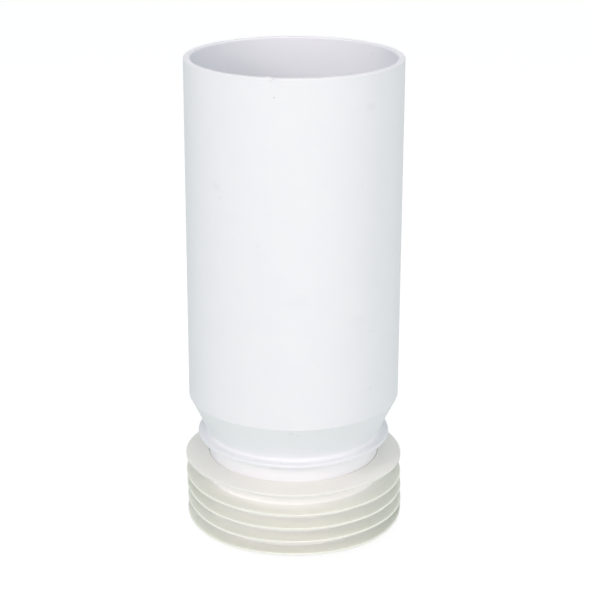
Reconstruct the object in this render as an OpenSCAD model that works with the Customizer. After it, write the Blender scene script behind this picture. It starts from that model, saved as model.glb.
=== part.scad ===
// Pipe extension piece for a toilet outlet: a plain pipe end above, and below it
// a cone, a thin collar and a narrower neck that carries a soft seal with fins.
// It stands on the foot of the seal, with the axis of the pipe along +Z.

/* [Plain pipe end] */
// Outside diameter of the plain pipe end
pipe_od = 110; // [104:0.5:125]
// Wall thickness of the pipe, of its cone and of its neck
wall = 3.4; // [2.4:0.1:4.5]
// Height of the whole piece, from the foot of the seal up to the rim
total_len = 250; // [160:1:500]
// Radius of the rounded outer edge of the rim
rim_round = 0.5; // [0.2:0.1:1]
// Width of the lead-in chamfer inside the rim
mouth_chamfer = 1; // [0.4:0.1:2]
// Radius of the edge where the pipe turns into the cone
shoulder_round = 0.4; // [0.1:0.1:2]

/* [Cone and collar] */
// Height of the cone between the pipe and the collar
cone_len = 21.1; // [14:0.1:40]
// Radius of the fillet where the cone runs out onto the collar
cone_fillet = 2.4; // [0.5:0.1:3]
// Radius of the bends inside the cone
bore_fillet = 2; // [0.5:0.1:6]
// Outside diameter of the thin collar at the foot of the cone
collar_od = 100.8; // [98:0.2:106]
// Thickness of the collar
collar_t = 1.8; // [1.2:0.1:3]
// Radius of the rounded edges of the collar
collar_round = 0.4; // [0.1:0.1:0.5]
// Radius of the fillet under the collar
collar_fillet = 0.8; // [0.2:0.1:2]

/* [Neck] */
// Outside diameter of the neck
neck_od = 89.6; // [84:0.2:93]
// Height of bare neck between the collar and the seal
bare_neck = 9.9; // [2:0.1:40]
// Chamfer round the lower end of the neck, which leads the seal on
neck_chamfer = 0.8; // [0.2:0.1:1.2]

/* [Sleeve of the seal] */
// Wall thickness of the soft sleeve round the neck
sleeve_wall = 1.6; // [1.2:0.1:3]
// Radial gap left between the neck and the sleeve
sleeve_gap = 0.1; // [0.05:0.05:0.3]
// Bevel round the upper mouth of the sleeve
sleeve_bevel = 0.6; // [0.2:0.1:0.9]
// Thickness of the lip that turns in under the end of the neck
lip_t = 2.4; // [1.5:0.1:4]
// How far the lip reaches in from the outside of the neck
lip_reach = 1.8; // [1.2:0.1:2.3]
// Height of the skirt that is left below the lowest fin
skirt = 2.6; // [1.8:0.1:12]
// Chamfer round the foot of the skirt
foot_chamfer = 1; // [0.3:0.1:1.2]
// Height of the rib that locks the sleeve into a groove of the neck
rib_h = 4; // [2:0.1:6]
// Depth of that groove in the wall of the neck
groove_depth = 0.8; // [0.4:0.1:1.2]

/* [Fins of the seal] */
// Outside diameter of the fins
fin_od = 114.4; // [108:0.2:124]
// Number of fins
fin_count = 5; // [3:1:9]
// Distance from the top fin down to the next
top_pitch = 11.95; // [6:0.05:20]
// Distance between the other fins
fin_pitch = 7.75; // [5:0.05:15]
// Thickness of the fins at their rims
fin_rim_t = 1.2; // [0.9:0.1:2.4]
// Thickness of the fins where they leave the sleeve
fin_root_t = 1.8; // [1:0.1:3]
// How much lower the rim of the top fin lies than the mouth of the sleeve
top_droop = 1.2; // [0:0.1:4]
// Radius of the rounded edges of the fins
fin_round = 0.35; // [0.1:0.05:0.4]
// Radius of the fillets where the fins leave the sleeve
root_fillet = 0.5; // [0.1:0.1:1]

/* [Hidden] */
$fn = 96;
fine_arc_steps = 3;
arc_steps = 6;

// Radii of the pipe body
pipe_r = pipe_od / 2;
bore_r = pipe_r - wall;
neck_r = neck_od / 2;
neck_bore_r = neck_r - wall;
collar_r = collar_od / 2;

// Radii of the seal, which is made to the neck it sits on
sleeve_bore_r = neck_r + sleeve_gap;
sleeve_r = sleeve_bore_r + sleeve_wall;
lip_r = neck_r - lip_reach;
fin_r = fin_od / 2;

// Heights above the foot of the seal
seal_len = skirt + fin_root_t + (fin_count - 2) * fin_pitch + top_pitch;
collar_z = seal_len + bare_neck;
cone_z = collar_z + collar_t;
shoulder_z = cone_z + cone_len;

// The inside of the cone runs parallel to the outside, one wall away from it
cone_angle = atan((pipe_r - neck_r) / cone_len);
wall_step = wall * tan(cone_angle / 2);

// The locking rib sits behind the middle fin, and its groove is larger by the gap
rib_fin = ceil(fin_count / 2);
rib_z = fin_z(rib_fin) - fin_root_t / 2;
rib_r = neck_r - groove_depth + sleeve_gap;
groove_h = rib_h + 2 * sleeve_gap;

// Height of the upper face of a fin at the sleeve, counting the fins from the top
function fin_z(i) = seal_len - (i == 1 ? 0 : top_pitch + (i - 2) * fin_pitch);

function unit(v) = v / norm(v);

// Points of an arc of radius r that rounds off the corner b between a and c
function corner(a, b, c, r) =
    let (
        u = unit(a - b),
        v = unit(c - b),
        half = acos(u * v) / 2,
        centre = b + unit(u + v) * r / sin(half),
        from = b + u * r / tan(half) - centre,
        to = b + v * r / tan(half) - centre,
        start = atan2(from.y, from.x),
        turn = (atan2(to.y, to.x) - start + 540) % 360 - 180,
        steps = r < 1 ? fine_arc_steps : arc_steps
    )
    [for (i = [0 : steps])
        centre + r * [cos(start + turn * i / steps), sin(start + turn * i / steps)]];

// Closed outline from a list of [radius, height, rounding], one entry a corner
function outline(p) =
    let (n = len(p), at = [for (q = p) [q[0], q[1]]])
    [for (i = [0 : n - 1])
        each (p[i][2] == 0
            ? [at[i]]
            : corner(at[(i + n - 1) % n], at[i], at[(i + 1) % n], p[i][2]))];

// Turns an outline round the axis of the pipe
module turned(p) {
    rotate_extrude()
        polygon(outline(p));
}

// Corners of the top fin, whose upper face runs in to the mouth of the sleeve
function top_fin() = [
    [sleeve_bore_r, seal_len - sleeve_bevel, 0],
    [sleeve_bore_r + sleeve_bevel, seal_len, 0],
    [fin_r, seal_len - top_droop, fin_round],
    [fin_r, seal_len - top_droop - fin_rim_t, fin_round],
    [sleeve_r, seal_len - fin_root_t, root_fillet]
];

// Corners of a lower fin: root above, both edges of the rim, root below
function lower_fin(i) = [
    [sleeve_r, fin_z(i), root_fillet],
    [fin_r, fin_z(i), fin_round],
    [fin_r, fin_z(i) - fin_rim_t, fin_round],
    [sleeve_r, fin_z(i) - fin_root_t, root_fillet]
];

// Hard plastic body: pipe, cone, collar and neck in one moulding
module pipe_body() {
    color("#F1F2F4")
        turned([
            [bore_r + mouth_chamfer, total_len, 0],
            [pipe_r, total_len, rim_round],
            [pipe_r, shoulder_z, shoulder_round],
            [neck_r, cone_z, cone_fillet],
            [collar_r, cone_z, collar_round],
            [collar_r, collar_z, collar_round],
            [neck_r, collar_z, collar_fillet],
            [neck_r, rib_z + groove_h / 2, 0],
            [neck_r - groove_depth, rib_z + groove_h / 2, 0],
            [neck_r - groove_depth, rib_z - groove_h / 2, 0],
            [neck_r, rib_z - groove_h / 2, 0],
            [neck_r, lip_t + neck_chamfer, 0],
            [neck_r - neck_chamfer, lip_t, 0],
            [neck_bore_r, lip_t, 0],
            [neck_bore_r, cone_z + wall_step, bore_fillet],
            [bore_r, shoulder_z + wall_step, bore_fillet],
            [bore_r, total_len - mouth_chamfer, 0]
        ]);
}

// Soft seal: a sleeve with thin round fins, a locking rib and a turned-in lip
module finned_seal() {
    color("#E7E6DC")
        turned([
            each top_fin(),
            for (i = [2 : fin_count])
                each lower_fin(i),
            [sleeve_r, foot_chamfer, 0],
            [sleeve_r - foot_chamfer, 0, 0],
            [lip_r, 0, 0],
            [lip_r, lip_t, 0],
            [sleeve_bore_r, lip_t, 0],
            [sleeve_bore_r, rib_z - rib_h / 2, 0],
            [rib_r, rib_z - rib_h / 2, 0],
            [rib_r, rib_z + rib_h / 2, 0],
            [sleeve_bore_r, rib_z + rib_h / 2, 0]
        ]);
}

pipe_body();
finned_seal();
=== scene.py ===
# %% [markdown]
# # A white pipe extension with a soft finned seal
#
# This piece lengthens the outlet of a toilet. Its upper end is plain 110 mm pipe.
# Below, the pipe runs in through a short cone to a thin collar and a narrower neck,
# and the neck carries a soft cream seal, whose round fins are pushed into a soil pipe.
#
# The imported model comes first. It fixes every size and place, so that all that follows
# is built around it.

# %% Load the imported model
import math

import bmesh
import bpy
from mathutils import Matrix, Vector


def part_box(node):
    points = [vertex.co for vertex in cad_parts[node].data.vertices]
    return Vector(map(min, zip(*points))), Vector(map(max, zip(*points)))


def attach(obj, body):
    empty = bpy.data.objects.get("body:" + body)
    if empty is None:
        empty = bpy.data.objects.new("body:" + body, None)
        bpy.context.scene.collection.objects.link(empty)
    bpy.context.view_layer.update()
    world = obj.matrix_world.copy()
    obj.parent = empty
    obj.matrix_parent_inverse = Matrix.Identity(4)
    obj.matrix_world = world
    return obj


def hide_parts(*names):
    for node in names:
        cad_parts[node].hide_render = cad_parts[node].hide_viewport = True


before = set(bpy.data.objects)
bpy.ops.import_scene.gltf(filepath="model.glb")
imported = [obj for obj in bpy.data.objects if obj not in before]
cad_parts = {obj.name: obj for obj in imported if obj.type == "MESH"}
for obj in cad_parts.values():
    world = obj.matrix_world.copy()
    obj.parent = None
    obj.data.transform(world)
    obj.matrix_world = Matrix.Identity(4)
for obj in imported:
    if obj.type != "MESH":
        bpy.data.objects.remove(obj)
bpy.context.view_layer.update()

print("nodes:", sorted(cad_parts))

# %% [markdown]
# ## Sizes
#
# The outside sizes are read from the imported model. The sizes inside its box, such as
# walls, roundings and the spacing of the fins, are named here in millimetres, and one
# factor turns them into Blender's metres when a mesh is made. A few small roundings differ
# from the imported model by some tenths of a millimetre, because the photo shows them so.

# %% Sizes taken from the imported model
MM = 0.001
pipe_r = round(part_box("pipe_body")[1].x / MM, 2)
total_len = round(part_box("pipe_body")[1].z / MM, 2)
neck_end = round(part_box("pipe_body")[0].z / MM, 2)
fin_r = round(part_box("finned_seal")[1].x / MM, 2)
seal_len = round(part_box("finned_seal")[1].z / MM, 2)
print(f"pipe radius {pipe_r}, height {total_len}; fin radius {fin_r}, seal height {seal_len}")

# %% Sizes of the pipe moulding
wall = 3.4
rim_round = 0.5
mouth_chamfer = 0.5
shoulder_round = 0.4
cone_len = 21.1
cone_fillet = 1.4
bore_fillet = 2.0
collar_r = 50.4
collar_t = 1.8
collar_top_round = 1.0
collar_under_round = 0.3
collar_fillet = 0.8
neck_r = 44.8
bare_neck = 9.9
neck_chamfer = 0.8
groove_h = 4.2
groove_depth = 0.8

collar_z = seal_len + bare_neck
cone_z = collar_z + collar_t
shoulder_z = cone_z + cone_len
bore_r = pipe_r - wall
neck_bore_r = neck_r - wall
wall_step = wall * math.tan(math.atan((pipe_r - neck_r) / cone_len) / 2)
print(f"collar at {collar_z:.2f}, cone from {cone_z:.2f} to {shoulder_z:.2f} mm")

# %% Sizes of the seal
sleeve_gap = 0.1
sleeve_wall = 1.6
sleeve_bevel = 0.4
lip_r = 43.0
foot_chamfer = 1.0
rib_h = 4.0
fin_count = 5
top_pitch = 11.95
fin_pitch = 7.75
fin_rim_t = 1.2
fin_root_t = 1.8
top_droop = 1.2
fin_round = 0.35
root_fillet = 0.5

sleeve_bore_r = neck_r + sleeve_gap
sleeve_r = sleeve_bore_r + sleeve_wall
fin_tops = [seal_len] + [seal_len - top_pitch - i * fin_pitch for i in range(fin_count - 1)]
rib_z = fin_tops[fin_count // 2] - fin_root_t / 2
print("upper faces of the fins at", [round(z, 2) for z in fin_tops], "mm")

# %% [markdown]
# ## Turned shapes
#
# Both pieces are the same all the way round, so each is drawn as one outline and turned
# about the pipe's axis. The outline starts as a few corner points joined by edges. A
# bevel on a single point swings an arc into that corner, and a full spin makes the skin.
# A lathe modifier would do it too, but the spin leaves a mesh that can be worked on.
#
# Smooth shading blends the faces at both sides of an edge. Next to a small rounding, that
# would spread a grey veil over the long flat wall, so every long edge of the outline gets
# an extra point close to each end, which holds the blend there.

# %% Outline with rounded corners
# Steps of an arc in a corner
ARC_STEPS = 4


def outline(corners):
    """A closed wire in the XZ plane from [radius, height, rounding] corners in mm."""
    bm = bmesh.new()
    points = [Vector((r, 0, z)) * MM for r, z, _ in corners]
    verts = [bm.verts.new(p) for p in points]
    for a, b in zip(verts, verts[1:] + verts[:1]):
        bm.edges.new((a, b))
    for i, (vert, (_, _, rounding)) in enumerate(zip(verts, corners)):
        if rounding:
            before = points[i - 1] - points[i]
            after = points[(i + 1) % len(points)] - points[i]
            reach = rounding * MM / math.tan(before.angle(after) / 2)
            bmesh.ops.bevel(bm, geom=[vert], offset=reach, offset_type="OFFSET", affect="VERTICES",
                            segments=ARC_STEPS, profile=0.5, material=-1)
    return bm


# %% Extra points near the ends of long edges
# How far in mm such a point lies from the end of its edge, and the length in mm from which
# an edge is also divided in between
HOLD = 0.15
LONG_EDGE = 2


def hold_ends(bm, cuts):
    """Splits every long edge of a wire close to both its ends, and evenly between them."""
    for edge in [e for e in bm.edges if e.calc_length() > 4 * HOLD * MM]:
        length = edge.calc_length()
        start, end = edge.verts
        rest, _ = bmesh.utils.edge_split(edge, start, HOLD * MM / length)
        span = next(e for e in end.link_edges if e in (edge, rest))
        span_length = span.calc_length()
        bmesh.utils.edge_split(span, end, HOLD * MM / span_length)
    long_edges = [e for e in bm.edges if e.calc_length() > LONG_EDGE * MM]
    bmesh.ops.subdivide_edges(bm, edges=long_edges, cuts=cuts)


# %% Spin
TURN_STEPS = 320


def turned(corners, cuts):
    """Spins an outline a full turn about the Z axis, as a closed skin that faces outwards."""
    bm = outline(corners)
    hold_ends(bm, cuts)
    bmesh.ops.spin(bm, geom=bm.verts[:] + bm.edges[:], cent=(0, 0, 0), axis=(0, 0, 1),
                   dvec=(0, 0, 0), angle=math.tau, steps=TURN_STEPS, use_merge=True,
                   use_duplicate=False)
    bmesh.ops.recalc_face_normals(bm, faces=bm.faces)
    for face in bm.faces:
        face.smooth = True
    return bm


# %% Finished piece
def finished(bm, name, node):
    """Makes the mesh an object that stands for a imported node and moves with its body."""
    open_edges = sum(len(e.link_faces) != 2 for e in bm.edges)
    print(f"{name}: {len(bm.faces)} faces, {open_edges} open edges, "
          f"{bm.calc_volume(signed=True) / MM ** 3 / 1000:.2f} cm3")
    mesh = bpy.data.meshes.new(name)
    bm.to_mesh(mesh)
    bm.free()
    piece = bpy.data.objects.new(name, mesh)
    bpy.context.collection.objects.link(piece)
    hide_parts(node)
    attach(piece, "root")
    return piece


# %% [markdown]
# ## The pipe moulding
#
# Pipe, cone, collar and neck are one injection moulding in hard white plastic, so they are
# one outline. The rim has a rounded outer edge and a lead-in chamfer inside. The cone runs
# out onto the collar in a small fillet. The collar is only a thin disc, whose upper edge is
# rounded much more than the lower one. Fillet and edge each catch a bright line. Inside, the
# wall keeps its thickness all the way.

# %% Pipe moulding
pipe = turned([
    [bore_r + mouth_chamfer, total_len, 0],
    [pipe_r, total_len, rim_round],
    [pipe_r, shoulder_z, shoulder_round],
    [neck_r, cone_z, cone_fillet],
    [collar_r, cone_z, collar_top_round],
    [collar_r, collar_z, collar_under_round],
    [neck_r, collar_z, collar_fillet],
    [neck_r, rib_z + groove_h / 2, 0],
    [neck_r - groove_depth, rib_z + groove_h / 2, 0],
    [neck_r - groove_depth, rib_z - groove_h / 2, 0],
    [neck_r, rib_z - groove_h / 2, 0],
    [neck_r, neck_end + neck_chamfer, 0],
    [neck_r - neck_chamfer, neck_end, 0],
    [neck_bore_r, neck_end, 0],
    [neck_bore_r, cone_z + wall_step, bore_fillet],
    [bore_r, shoulder_z + wall_step, bore_fillet],
    [bore_r, total_len - mouth_chamfer, 0],
], cuts=3)

# %% [markdown]
# The inner edge of this rim has a small burr, a little left of the front, as a knock or a cut
# leaves it. A few points of the rim are pulled up by half a millimetre, most in the middle.

# %% Burr on the rim
# Angle from the front to the right and half width in degrees, and height in mm
BURR_AZIMUTH = -13.5
BURR_REACH = 2.3
BURR_HEIGHT = 0.5


def raise_burr(bm):
    """Pulls up the inner edge of the rim, in a smooth hump round the burr's azimuth."""
    moved = 0
    for vert in bm.verts:
        x, y, z = vert.co
        off = abs(math.degrees(math.atan2(x, -y)) - BURR_AZIMUTH) / BURR_REACH
        on_inner_edge = abs(math.hypot(x, y) / MM - bore_r - mouth_chamfer) < 2 * HOLD
        if off < 1 and on_inner_edge and z > (total_len - HOLD) * MM:
            vert.co.z += BURR_HEIGHT * MM * math.cos(off * math.pi / 2) ** 2
            moved += 1
    print("points raised for the burr:", moved)


raise_burr(pipe)
pipe_moulding = finished(pipe, "pipe_moulding", "pipe_body")

# %% [markdown]
# ## The seal moulding
#
# The seal is one soft moulding: a sleeve that grips the neck, five thin round fins, a rib
# in the neck's groove and a lip under its end. The fins taper towards their rims, so that
# they bend easily. The top fin runs in to the mouth of the sleeve and droops a little.

# %% Outline of the seal
def seal_corners():
    """Corners of the seal: the top fin, the lower fins, the foot, the lip and the rib."""
    corners = [
        [sleeve_bore_r, seal_len - sleeve_bevel, 0],
        [sleeve_bore_r + sleeve_bevel, seal_len, 0],
        [fin_r, seal_len - top_droop, fin_round],
        [fin_r, seal_len - top_droop - fin_rim_t, fin_round],
        [sleeve_r, seal_len - fin_root_t, root_fillet],
    ]
    for top in fin_tops[1:]:
        corners += [
            [sleeve_r, top, root_fillet],
            [fin_r, top, fin_round],
            [fin_r, top - fin_rim_t, fin_round],
            [sleeve_r, top - fin_root_t, root_fillet],
        ]
    return corners + [
        [sleeve_r, foot_chamfer, 0],
        [sleeve_r - foot_chamfer, 0, 0],
        [lip_r, 0, 0],
        [lip_r, neck_end, 0],
        [sleeve_bore_r, neck_end, 0],
        [sleeve_bore_r, rib_z - rib_h / 2, 0],
        [sleeve_bore_r - groove_depth, rib_z - rib_h / 2, 0],
        [sleeve_bore_r - groove_depth, rib_z + rib_h / 2, 0],
        [sleeve_bore_r, rib_z + rib_h / 2, 0],
    ]


seal = turned(seal_corners(), cuts=4)

# %% [markdown]
# A soft fin never lies quite flat. Those of the photographed seal hang a little at the right
# and ride up at the left, and the lowest one waves up and down along its rim. Each fin gets
# the lift of its rim at eight places round it. A smooth curve joins them, and every point of
# the fin follows it, by nothing at the sleeve and by all of it at the rim.

# %% Bend the fins
# Lift of the rim in mm at every eighth of a turn, from the front round by the right, and
# the slide of the fin to the right, from the top fin down
FIN_BENDS = [
    ((-0.4, 0.0, -1.0, -0.8, -1.2, -1.6, -0.2, 0.1), 0.0),
    ((-0.6, -0.2, -0.4, -0.9, -0.4, -0.4, 0.9, 0.1), 0.1),
    ((-0.4, -0.2, 0.0, -0.4, 0.0, 0.6, 2.3, 0.1), 0.35),
    ((0.0, 0.3, -0.2, -0.6, 0.2, 0.7, 2.4, 0.2), 0.6),
    ((0.9, 0.5, 2.0, 1.0, 1.2, 0.8, 2.0, 0.6), 0.5),
]


def nearest_fin(height):
    """Number of the fin that a point at this height in mm belongs to."""
    middles = [top - (fin_root_t + fin_rim_t) / 4 for top in fin_tops]
    return min(range(fin_count), key=lambda i: abs(middles[i] - height))


def lift_at(lifts, x, y):
    """Lift in the direction of x and y, on a smooth closed curve through all the lifts."""
    turn = math.atan2(x, -y) / math.tau * len(lifts)
    i = math.floor(turn)
    t = turn - i
    a, b, c, d = (lifts[(i + k) % len(lifts)] for k in (-1, 0, 1, 2))
    return b + t / 2 * (c - a + t * (2 * a - 5 * b + 4 * c - d + t * (3 * b - 3 * c + d - a)))


def bend_fins(bm):
    """Lifts and slides every point outside the sleeve by its share of its fin's bend."""
    for vert in bm.verts:
        x, y, z = vert.co
        share = (math.hypot(x, y) / MM - sleeve_r) / (fin_r - sleeve_r)
        if share > 0:
            lifts, slide = FIN_BENDS[nearest_fin(z / MM)]
            ease = share * share * (3 - 2 * share)
            vert.co.z += ease * lift_at(lifts, x, y) * MM
            vert.co.x += ease * slide * MM


bend_fins(seal)
seal_moulding = finished(seal, "seal_moulding", "finned_seal")

# %% [markdown]
# ## Materials
#
# Colours are written as sRGB hex values, the way a paint program shows them, and one
# function turns them into the linear values that Blender calculates with. One more small
# function adds a node with its settings and links.

# %% Colour and node helpers
def linear(code):
    """Linear RGBA of a colour such as #F4F5F7."""
    channels = [int(code[i:i + 2], 16) / 255 for i in (1, 3, 5)]
    return [c / 12.92 if c <= 0.04045 else ((c + 0.055) / 1.055) ** 2.4 for c in channels] + [1]


def add_node(tree, kind, settings=None, **inputs):
    """Adds a node. Its inputs are values or other nodes' sockets, by name or as _number."""
    node = tree.nodes.new(kind)
    for name, value in (settings or {}).items():
        setattr(node, name, value)
    for name, value in inputs.items():
        key = int(name[1:]) if name[1:].isdigit() else name.replace("_", " ")
        socket = node.inputs[key]
        if isinstance(value, bpy.types.NodeSocket):
            tree.links.new(value, socket)
        else:
            socket.default_value = value
    return node


def new_material(name):
    """An empty material and its output node."""
    material = bpy.data.materials.new(name)
    material.use_nodes = True
    material.node_tree.nodes.clear()
    return material, add_node(material.node_tree, "ShaderNodeOutputMaterial")


# %% [markdown]
# ### White moulded plastic
#
# The pipe is rigid white plastic, injection moulded in a tool with a fine satin surface.
# To the eye it is a cool white with a soft sheen and hardly any pattern. Up close there is
# a faint cloudiness, where pigment and flow were uneven, and a very fine grain. Some light
# comes through the wall of such a pipe, so its inside is less dark than that of an opaque
# one. A whiter tint there stands for it, by the distance from the axis and the height.
#
# This pipe has been handled, so it carries a few dark specks, some faint grey smudges and a
# scuff on the cone, just under the edge of the pipe. Each is a soft oval spot. To place them,
# the pipe is unrolled: a point's angle round the axis becomes a length, next to its height.
# The distance from the axis is the third number, which keeps a spot on its own side of the
# wall.

# %% Specks and smudges
# Angle from the front to the right in degrees, distance from the axis, height, half width
# and half height in mm, and how much of the white each spot hides. A spot keeps its full
# strength out to the core, as a share of its half width, and reaches 1.5 mm into the wall
MARKS = [
    (-9.7, 55, 241.1, 0.5, 0.6, 0.40),
    (-40.0, 55, 189.2, 1.2, 0.8, 0.11),
    (-18.5, 55, 168.2, 0.8, 0.7, 0.10),
    (36.7, 55, 195.4, 0.7, 0.7, 0.14),
    (43.3, 55, 119.9, 1.2, 0.7, 0.10),
    (44.8, 55, 88.7, 1.1, 0.8, 0.14),
    (-58.2, 55, 102.6, 1.0, 1.0, 0.09),
    (41.5, 55, 233.9, 5.0, 2.6, 0.05),
    (-43.0, 55, 194.4, 3.5, 2.8, 0.05),
    (2.5, 55, 140.1, 10.0, 6.0, 0.02),
    (35.0, 55, 126.7, 6.0, 5.0, 0.02),
    (-10.2, 55, 249.6, 1.1, 0.5, 0.24),
    (-11.5, 55, 248.7, 1.3, 0.7, 0.11),
    (129.2, 51.6, 244.8, 1.8, 1.2, 0.08),
    (-1.3, 54, 70.1, 1.9, 0.6, 0.14),
    (2.8, 53.3, 68.7, 2.2, 0.5, 0.10),
    (-7.8, 48.4, 51.3, 0.7, 0.7, 0.16),
]
MARK_DEPTH = 1.5
MARK_CORE = 0.3


def from_axis(tree, place):
    """Distance of a point from the pipe's axis, as a socket."""
    flat = add_node(tree, "ShaderNodeVectorMath", {"operation": "MULTIPLY"},
                    _0=place, _1=(1, 1, 0))
    length = add_node(tree, "ShaderNodeVectorMath", {"operation": "LENGTH"}, _0=flat.outputs[0])
    return length.outputs["Value"]


def hidden_by_marks(tree, place):
    """How much of the surface the marks hide, as a socket with 0 where there is none."""
    part = add_node(tree, "ShaderNodeSeparateXYZ", Vector=place)
    front = add_node(tree, "ShaderNodeMath", {"operation": "MULTIPLY"}, _0=part.outputs["Y"], _1=-1)
    turn = add_node(tree, "ShaderNodeMath", {"operation": "ARCTAN2"},
                    _0=part.outputs["X"], _1=front.outputs[0])
    along = add_node(tree, "ShaderNodeMath", {"operation": "MULTIPLY"},
                     _0=turn.outputs[0], _1=pipe_r * MM)
    unrolled = add_node(tree, "ShaderNodeCombineXYZ", X=along.outputs[0], Y=part.outputs["Z"],
                        Z=from_axis(tree, place))
    total = 0
    for azimuth, radius, height, half_width, half_height, cover in MARKS:
        centre = (math.radians(azimuth) * pipe_r, height, radius)
        size = (half_width, half_height, MARK_DEPTH)
        offset = add_node(tree, "ShaderNodeVectorMath", {"operation": "MULTIPLY_ADD"},
                          _0=unrolled.outputs[0], _1=[1 / (s * MM) for s in size],
                          _2=[-c / s for c, s in zip(centre, size)])
        far = add_node(tree, "ShaderNodeVectorMath", {"operation": "LENGTH"}, _0=offset.outputs[0])
        spot = add_node(tree, "ShaderNodeMapRange", {"interpolation_type": "SMOOTHSTEP"},
                        Value=far.outputs["Value"], From_Min=MARK_CORE, From_Max=1,
                        To_Min=cover, To_Max=0)
        both = add_node(tree, "ShaderNodeMath", {"operation": "ADD"},
                        _0=total, _1=spot.outputs["Result"])
        total = both.outputs[0]
    return total


# %% Colour of the plastic
# The real grain is too fine to show, so it is drawn at about a millimetre
PLASTIC_CLOUD_MM = 14
PLASTIC_GRAIN_MM = 0.9
# The whiter tint fades out in this much of the wall, and in this height above the cone
BORE_SKIN_MM = 0.5
BORE_FADE_MM = 10

plastic, plastic_out = new_material("satin_white_polypropylene")
tree = plastic.node_tree
place = add_node(tree, "ShaderNodeTexCoord").outputs["Object"]
cloud = add_node(tree, "ShaderNodeTexNoise", Vector=place, Scale=1 / (PLASTIC_CLOUD_MM * MM),
                 Detail=3, Roughness=0.6)
grain = add_node(tree, "ShaderNodeTexNoise", Vector=place, Scale=1 / (PLASTIC_GRAIN_MM * MM),
                 Detail=2, Roughness=0.5)
tint = add_node(tree, "ShaderNodeMix", {"data_type": "RGBA"}, Factor=cloud.outputs["Fac"],
                _6=linear("#F4F5F8"), _7=linear("#F8F9FA"))
near_axis = add_node(tree, "ShaderNodeMapRange", Value=from_axis(tree, place),
                     From_Min=(bore_r + BORE_SKIN_MM / 5) * MM,
                     From_Max=(bore_r + BORE_SKIN_MM) * MM, To_Min=1, To_Max=0)
height = add_node(tree, "ShaderNodeSeparateXYZ", Vector=place)
above_cone = add_node(tree, "ShaderNodeMapRange", Value=height.outputs["Z"],
                      From_Min=shoulder_z * MM, From_Max=(shoulder_z + BORE_FADE_MM) * MM)
in_bore = add_node(tree, "ShaderNodeMath", {"operation": "MULTIPLY"},
                   _0=near_axis.outputs["Result"], _1=above_cone.outputs["Result"])
whole = add_node(tree, "ShaderNodeMix", {"data_type": "RGBA"}, Factor=in_bore.outputs[0],
                 _6=tint.outputs[2], _7=linear("#FAFCFF"))
marked = add_node(tree, "ShaderNodeMix", {"data_type": "RGBA"},
                  Factor=hidden_by_marks(tree, place), _6=whole.outputs[2], _7=linear("#9A9DA3"))
print("marks:", len(MARKS))

# %% Satin white polypropylene, injection moulded
sheen_map = add_node(tree, "ShaderNodeMapRange", Value=cloud.outputs["Fac"],
                     To_Min=0.56, To_Max=0.66)
bump = add_node(tree, "ShaderNodeBump", Height=grain.outputs["Fac"], Strength=0.25,
                Distance=0.02 * MM)
plastic_shader = add_node(tree, "ShaderNodeBsdfPrincipled", Base_Color=marked.outputs[2],
                          Roughness=sheen_map.outputs["Result"], Normal=bump.outputs["Normal"],
                          IOR=1.49)
tree.links.new(plastic_shader.outputs["BSDF"], plastic_out.inputs["Surface"])
pipe_moulding.data.materials.append(plastic)
print("plastic:", len(tree.nodes), "nodes")

# %% [markdown]
# ### Soft off-white rubber
#
# The seal is a thermoplastic rubber, moulded and matt, with a fine grain that takes away
# any shine. Its colour is a warm white. Light that falls in between the fins is thrown to
# and fro many times and takes a little of the colour with it each time, so the gaps turn
# yellower than the rims by themselves, without a darker paint in them.
#
# Soft rubber also lets a little light in. The rubber is painted whiter from near the rims in
# to the sleeve. This is painted light, which lifts the shade deep in the gaps between the fins.
# Where the sleeve lies on the white neck, the whiter rubber also stands for the neck showing
# through. The top fin is painted a little darker, a painted shade on it. Two blends give
# this, one by the distance from the axis and one by the height. A shader that scatters
# light below the surface was not used, since it made the thin fins far too dark.

# %% Colour of the rubber
# This grain too is drawn coarser than the real one
RUBBER_CLOUD_MM = 9
RUBBER_GRAIN_MM = 0.7

rubber, rubber_out = new_material("matt_thermoplastic_rubber")
tree = rubber.node_tree
place = add_node(tree, "ShaderNodeTexCoord").outputs["Object"]
cloud = add_node(tree, "ShaderNodeTexNoise", Vector=place, Scale=1 / (RUBBER_CLOUD_MM * MM),
                 Detail=3, Roughness=0.6)
grain = add_node(tree, "ShaderNodeTexNoise", Vector=place, Scale=1 / (RUBBER_GRAIN_MM * MM),
                 Detail=2, Roughness=0.5)
tint = add_node(tree, "ShaderNodeMix", {"data_type": "RGBA"}, Factor=cloud.outputs["Fac"],
                _6=linear("#FBFCF1"), _7=linear("#FDFDF4"))
# Painted light: whiter from near the rims in towards the sleeve, which lifts the shade deep in the
# gaps between the fins
gap_light_fade = add_node(tree, "ShaderNodeMapRange", Value=from_axis(tree, place),
                 From_Min=(sleeve_r + 0.5) * MM, From_Max=(fin_r - 1.5) * MM)
gap_painted_light = add_node(tree, "ShaderNodeMix", {"data_type": "RGBA"}, Factor=gap_light_fade.outputs["Result"],
                _6=linear("#FEFEFC"), _7=tint.outputs[2])
height = add_node(tree, "ShaderNodeSeparateXYZ", Vector=place)
# Painted shade: the top fin is painted a little darker than the rest of the seal
top_fin_shade_mask = add_node(tree, "ShaderNodeMapRange", Value=height.outputs["Z"],
                  From_Min=(seal_len - 5) * MM, From_Max=(seal_len - 3.5) * MM)
top_fin_painted_shade = add_node(tree, "ShaderNodeMix", {"data_type": "RGBA"}, Factor=top_fin_shade_mask.outputs["Result"],
                  _6=gap_painted_light.outputs[2], _7=linear("#F8F7F0"))
print(f"rubber turns whiter inside {fin_r - 1.5:.1f} mm and duller above {seal_len - 5:.1f} mm")

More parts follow.
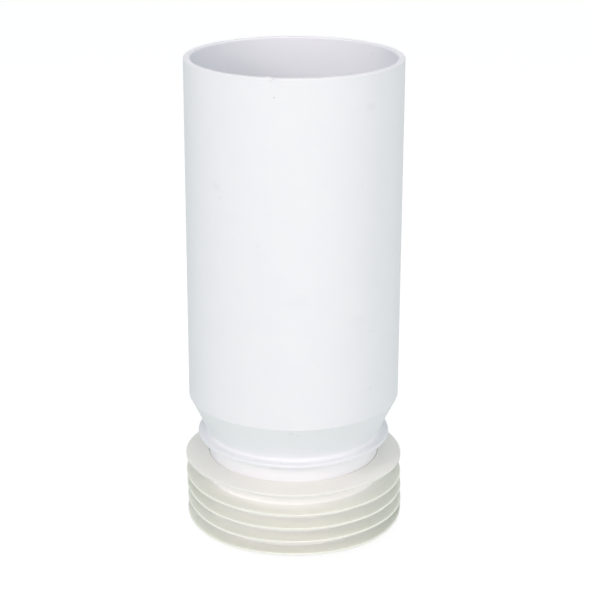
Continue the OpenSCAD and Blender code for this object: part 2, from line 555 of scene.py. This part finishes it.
# %% Matt thermoplastic rubber, moulded
bump = add_node(tree, "ShaderNodeBump", Height=grain.outputs["Fac"], Strength=0.35,
                Distance=0.03 * MM)
rubber_shader = add_node(tree, "ShaderNodeBsdfPrincipled", Base_Color=top_fin_painted_shade.outputs[2],
                         Roughness=0.62, Normal=bump.outputs["Normal"], IOR=1.5)
tree.links.new(rubber_shader.outputs["BSDF"], rubber_out.inputs["Surface"])
seal_moulding.data.materials.append(rubber)
print("rubber:", len(tree.nodes), "nodes")

# %% [markdown]
# ## Studio
#
# The piece stands on a wide pale floor, and soft daylight comes from all around. Four large
# lamps stand three metres away: the main one at the left, one in front, a low one at the
# right and one overhead. So far away, they light the pipe evenly from its rim to its foot.
# They are faintly warm against the cool daylight, as the cone, which they hardly reach, is
# bluer than the pipe. A weak low lamp behind lifts the far side of the fins.
#
# What the camera sees of floor and backdrop is lifted to white by Light Path, directly and
# in reflections. It adds no light to the piece, and the floor keeps its soft shadow.

# %% What the camera sees
def seen_not_lit(tree):
    """1 for what is seen, also in a reflection or through glass, and 0 for light given."""
    path = add_node(tree, "ShaderNodeLightPath").outputs
    direct = add_node(tree, "ShaderNodeMath", {"operation": "ADD"},
                      _0=path["Is Camera Ray"], _1=path["Is Glossy Ray"])
    seen = add_node(tree, "ShaderNodeMath", {"operation": "ADD", "use_clamp": True},
                    _0=direct.outputs[0], _1=path["Is Transmission Ray"])
    return seen.outputs[0]


# %% Floor
FLOOR_HALF_M = 3
FLOOR_GLOW = 0.87

floor_mesh = bpy.data.meshes.new("floor")
floor_bm = bmesh.new()
bmesh.ops.create_grid(floor_bm, x_segments=1, y_segments=1, size=FLOOR_HALF_M)
floor_bm.to_mesh(floor_mesh)
floor_bm.free()
floor = bpy.data.objects.new("floor", floor_mesh)
bpy.context.collection.objects.link(floor)

floor_paint, floor_out = new_material("pale_floor_paint")
tree = floor_paint.node_tree
seen = seen_not_lit(tree)
paint = add_node(tree, "ShaderNodeMix", {"data_type": "RGBA"}, Factor=seen,
                 _6=linear("#DAE8E1"), _7=linear("#838380"))
matt = add_node(tree, "ShaderNodeBsdfDiffuse", Color=paint.outputs[2])
lift = add_node(tree, "ShaderNodeMath", {"operation": "MULTIPLY"}, _0=seen, _1=FLOOR_GLOW)
glow = add_node(tree, "ShaderNodeEmission", Strength=lift.outputs[0])
both = add_node(tree, "ShaderNodeAddShader", _0=matt.outputs[0], _1=glow.outputs[0])
tree.links.new(both.outputs[0], floor_out.inputs["Surface"])
floor_mesh.materials.append(floor_paint)
print("floor:", [round(v, 2) for v in floor.dimensions], "m")

# %% World
DAYLIGHT = 0.318

world = bpy.data.worlds.new("soft_daylight")
bpy.context.scene.world = world
world.use_nodes = True
tree = world.node_tree
tree.nodes.clear()
around = add_node(tree, "ShaderNodeBackground", Color=linear("#CFEFFF"), Strength=DAYLIGHT)
white = add_node(tree, "ShaderNodeBackground", Color=linear("#FFFFFF"), Strength=1.0)
mixed = add_node(tree, "ShaderNodeMixShader", _0=seen_not_lit(tree),
                 _1=around.outputs[0], _2=white.outputs[0])
add_node(tree, "ShaderNodeOutputWorld", Surface=mixed.outputs[0])
print("daylight strength:", DAYLIGHT)

# %% Lamps
MIDDLE = Vector((0, 0, total_len / 2)) * MM
LAMP_DISTANCE_M = 3


def softbox(name, side, height, size, watts):
    """A square lamp aimed at the piece. Side and height are its angles as seen from there."""
    lamp = bpy.data.lights.new(name, "AREA")
    lamp.size = size
    lamp.energy = watts
    lamp.color = linear("#FFEFED")[:3]
    box = bpy.data.objects.new(name, lamp)
    bpy.context.collection.objects.link(box)
    a, e = math.radians(side), math.radians(height)
    away = Vector((math.sin(a) * math.cos(e), -math.cos(a) * math.cos(e), math.sin(e)))
    box.location = MIDDLE + away * LAMP_DISTANCE_M
    box.rotation_euler = away.to_track_quat("Z", "Y").to_euler()


softbox("key_lamp", -45, 28, size=1.2, watts=27.4)
softbox("front_lamp", 0, 20, size=2, watts=29.9)
softbox("right_lamp", 70, 13, size=2, watts=25.4)
softbox("top_lamp", 0, 88, size=2, watts=25.2)
softbox("back_lamp", 180, 6, size=0.8, watts=7)

# %% [markdown]
# ## Camera
#
# The camera stands about 0.83 m in front of the piece and 0.41 m above its foot, and looks
# down by 19 degrees, so that the open rim shows as a flat ellipse and the seal from above.

# %% Camera
# Width of the picture, focal length and optical centre in pixels, and the place in mm
PICTURE = 591
focal_px = 1696.6
centre_x_px = 293.7
camera_back = 831.3
camera_height = 413.2
pitch = math.radians(19.14)
roll = math.radians(0.11)

lens = bpy.data.cameras.new("camera")
lens.sensor_width = 36
lens.lens = focal_px / PICTURE * lens.sensor_width
lens.shift_x = (PICTURE / 2 - centre_x_px) / PICTURE
lens.clip_start = 0.05
lens.clip_end = 20
camera = bpy.data.objects.new("camera", lens)
bpy.context.collection.objects.link(camera)
camera.matrix_world = (Matrix.Translation(Vector((0, -camera_back, camera_height)) * MM)
                       @ Matrix.Rotation(math.pi / 2 - pitch, 4, "X")
                       @ Matrix.Rotation(roll, 4, "Z"))
bpy.context.scene.camera = camera
bpy.context.scene.view_settings.view_transform = "Standard"
print(f"lens {lens.lens:.1f} mm, shift {lens.shift_x:.4f}")
